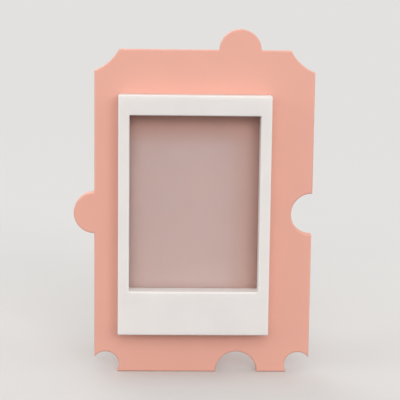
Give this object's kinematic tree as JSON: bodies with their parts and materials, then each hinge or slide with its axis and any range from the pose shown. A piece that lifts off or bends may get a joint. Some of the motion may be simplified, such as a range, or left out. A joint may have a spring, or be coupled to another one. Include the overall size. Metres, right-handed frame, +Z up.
{
  "type": "magnetic photo frame",
  "caption": "Upright jigsaw-shaped board with tabs and notches, carrying a lift-off white window frame held by magnets, propped by a swing-out stand fin.",
  "frame": {"origin": "on the floor, under the middle of the whole object's box with the stand fin open", "axes": "+X to the right as the front is seen, -Y out of the front face, +Z up"},
  "size_m": [0.0858, 0.0398, 0.1246],
  "materials": {
    "pink_plastic": "satin",
    "pink_paint": "satin",
    "white_plastic": "satin",
    "frosted_pane": "frosted",
    "tape_film": "matte",
    "magnet_nickel": "plated",
    "screw_steel": "plain",
    "shoe_rubber": "matte",
    "washer_nylon": "natural"
  },
  "bodies": {
    "board": {"board_shell": "pink_plastic", "rear_cover": "pink_plastic", "cover_screw_top_left": "screw_steel", "cover_screw_top_right": "screw_steel", "cover_screw_foot_left": "screw_steel", "cover_screw_foot_right": "screw_steel", "board_magnet_top_left": "magnet_nickel", "board_magnet_top_right": "magnet_nickel", "board_magnet_foot_left": "magnet_nickel", "board_magnet_foot_right": "magnet_nickel", "stand_hinge_pin": "screw_steel", "hinge_washer_lower": "washer_nylon", "hinge_washer_upper": "washer_nylon"},
    "picture_frame": {"front_frame": "white_plastic", "window_pane": "frosted_pane", "pane_tape": "tape_film", "frame_magnet_top_left": "magnet_nickel", "frame_magnet_top_right": "magnet_nickel", "frame_magnet_foot_left": "magnet_nickel", "frame_magnet_foot_right": "magnet_nickel"},
    "stand": {"stand_fin": "pink_paint", "fin_heel_shoe": "shoe_rubber"}
  },
  "joints": [
    {"name": "frame_pull", "type": "slide", "parent": "board", "child": "picture_frame", "axis": [0, -1, 0], "range_m": [0, 0.04]},
    {"name": "stand_swing", "type": "hinge", "parent": "board", "child": "stand", "pos_m": [0.0002, -0.00395, 0], "axis": [0, 0, 1], "range_deg": [0, 90]}
  ]
}
